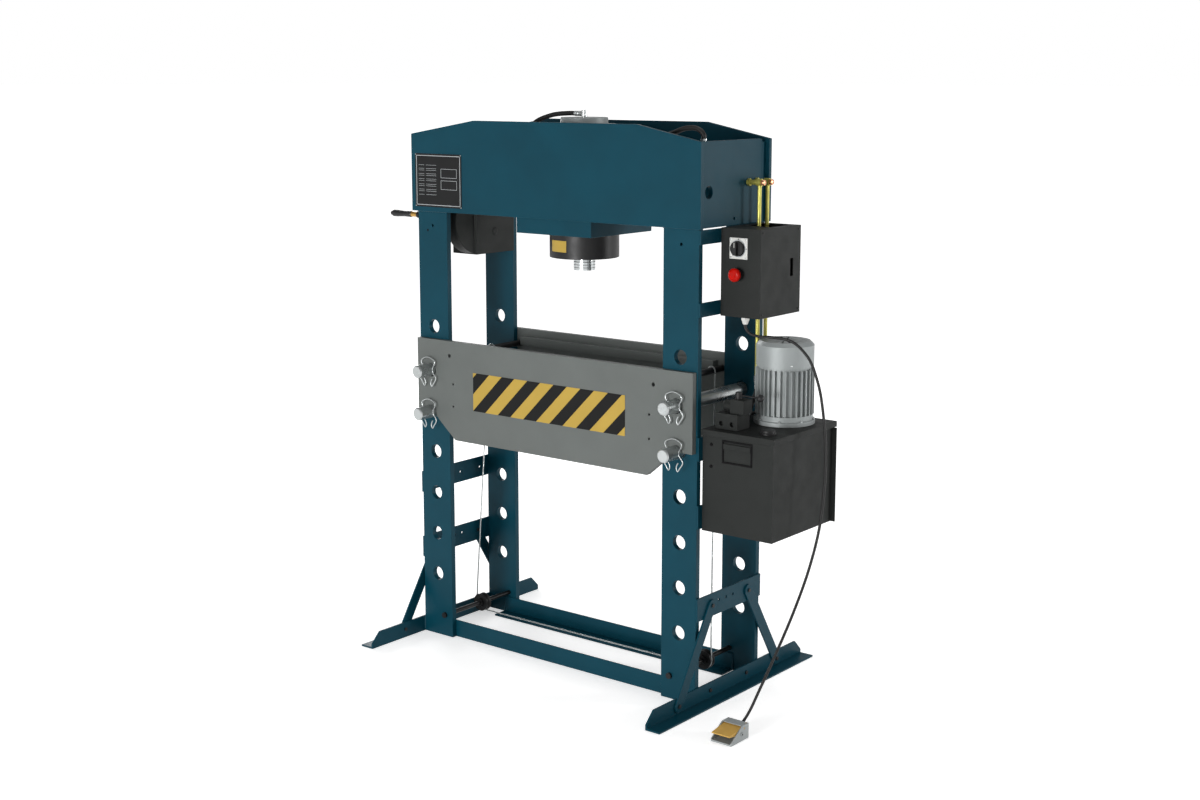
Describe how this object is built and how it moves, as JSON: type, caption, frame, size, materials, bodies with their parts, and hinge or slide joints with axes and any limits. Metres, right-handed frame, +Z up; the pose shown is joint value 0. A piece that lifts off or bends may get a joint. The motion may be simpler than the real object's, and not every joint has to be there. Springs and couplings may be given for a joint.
{
  "type": "electro-hydraulic workshop press",
  "caption": "Blue H-frame workshop press with a hydraulic cylinder in its head, a pinned grey table, a winch, a side power pack, a control box and a corded foot pedal.",
  "frame": {"origin": "on the floor, midway between the four columns", "axes": "+X to the operator's right seen from the front, where the power pack stands; +Y to the back; +Z up"},
  "size_m": [1.7369, 0.9, 1.886],
  "materials": {
    "blue_paint": "semi-gloss petrol-blue paint",
    "blackened_steel": "blackened, satin",
    "grey_paint": "satin grey paint",
    "bright_steel": "bright, turned or drawn",
    "cast_metal": "cast, light grey",
    "hose_rubber": "matte black",
    "yellow_zinc": "yellow-passivated zinc",
    "black_powder": "fine-textured black powder coat",
    "black_plastic": "matte black",
    "brass": "turned brass",
    "white_plastic": "off-white",
    "red_plastic": "glossy red",
    "pedal_metal": "die-cast, grey",
    "pedal_yellow": "ochre-yellow paint"
  },
  "bodies": {
    "frame": {"front_columns": "blue_paint", "rear_columns": "blue_paint", "head_front": "blue_paint", "head_rear": "blue_paint", "head_ends": "blue_paint", "head_ribs": "blue_paint", "feet": "blue_paint", "base_rails": "blue_paint", "side_straps": "blue_paint", "tank_straps": "blue_paint", "box_straps": "blue_paint", "braces": "blue_paint", "frame_bolts": "blackened_steel", "cylinder_mount": "blue_paint", "barrel": "blackened_steel", "ring_nut": "blackened_steel", "rod_gland": "blackened_steel", "cylinder_cap": "cast_metal", "head_hoses": "hose_rubber", "hose_fittings": "bright_steel", "banjo_fittings": "yellow_zinc", "pipes": "yellow_zinc", "pump_hoses": "hose_rubber", "table_front": "grey_paint", "table_rear": "grey_paint", "table_ledges": "grey_paint", "table_rods": "blackened_steel", "support_pins": "bright_steel", "pin_clips": "bright_steel", "pulley_axles": "blackened_steel", "rope": "bright_steel", "winch_housing": "black_powder", "tank": "black_powder", "tank_lid": "black_powder", "filler_cap": "black_plastic", "motor_flange": "cast_metal", "motor_body": "cast_metal", "motor_cowl": "cast_metal", "pump": "bright_steel", "valve_block": "black_powder", "valve_body": "black_powder", "control_box": "black_powder", "switch_plate": "white_plastic", "stop_collar": "black_plastic", "cable_gland": "white_plastic", "pedal_housing": "pedal_metal", "pedal_cable": "hose_rubber"},
    "ram": {"ram": "bright_steel", "piston": "bright_steel"},
    "crank": {"winch_drum": "bright_steel", "crank_arm": "blackened_steel"},
    "grip": {"crank_grip": "black_plastic", "grip_ferrule": "brass"},
    "pulley_left": {"pulley_left": "blackened_steel"},
    "pulley_right": {"pulley_right": "blackened_steel"},
    "switch_knob": {"switch_knob": "black_plastic"},
    "stop_button": {"stop_button": "red_plastic"},
    "pedal_plate": {"pedal_plate": "pedal_yellow"},
    "valve_lever": {"valve_lever": "black_plastic"},
    "motor_rotor": {"motor_rotor": "cast_metal"}
  },
  "joints": [
    {"name": "ram_slide", "type": "slide", "parent": "frame", "child": "ram", "axis": [0, 0, -1], "range_m": [0, 0.25]},
    {"name": "crank_turn", "type": "hinge", "parent": "frame", "child": "crank", "pos_m": [-0.645, 0.06, 1.45], "axis": [1, 0, 0], "continuous": true},
    {"name": "grip_turn", "type": "hinge", "parent": "crank", "child": "grip", "pos_m": [-0.73, -0.13021, 1.5118], "axis": [1, 0, 0], "continuous": true},
    {"name": "pulley_left_turn", "type": "hinge", "parent": "frame", "child": "pulley_left", "pos_m": [-0.5, 0.016, 0.078], "axis": [0, 1, 0], "continuous": true},
    {"name": "pulley_right_turn", "type": "hinge", "parent": "frame", "child": "pulley_right", "pos_m": [0.5, 0.016, 0.078], "axis": [0, 1, 0], "continuous": true},
    {"name": "switch_turn", "type": "hinge", "parent": "frame", "child": "switch_knob", "pos_m": [0.674, -0.072, 1.47], "axis": [0, -1, 0], "range_deg": [0, 90]},
    {"name": "stop_press", "type": "slide", "parent": "frame", "child": "stop_button", "axis": [0, 1, 0], "range_m": [0, 0.005], "stiffness_N_per_m": 800, "springref_m": -0.002},
    {"name": "pedal_press", "type": "hinge", "parent": "frame", "child": "pedal_plate", "pos_m": [0.846, -0.322, 0.037], "axis": [1, 0, 0], "range_deg": [0, 8], "stiffness_Nm_per_rad": 1.5, "springref_deg": -11.46},
    {"name": "lever_turn", "type": "hinge", "parent": "frame", "child": "valve_lever", "pos_m": [0.699, -0.1, 1.01], "axis": [0, 0, 1], "range_deg": [-20, 20], "stiffness_Nm_per_rad": 0.3},
    {"name": "rotor_turn", "type": "hinge", "parent": "frame", "child": "motor_rotor", "pos_m": [0.752, 0.083, 1], "axis": [0, 0, 1], "continuous": true}
  ],
  "couplings": [
    {"joint": "pulley_right_turn", "follows": "pulley_left_turn", "ratio": 1}
  ]
}
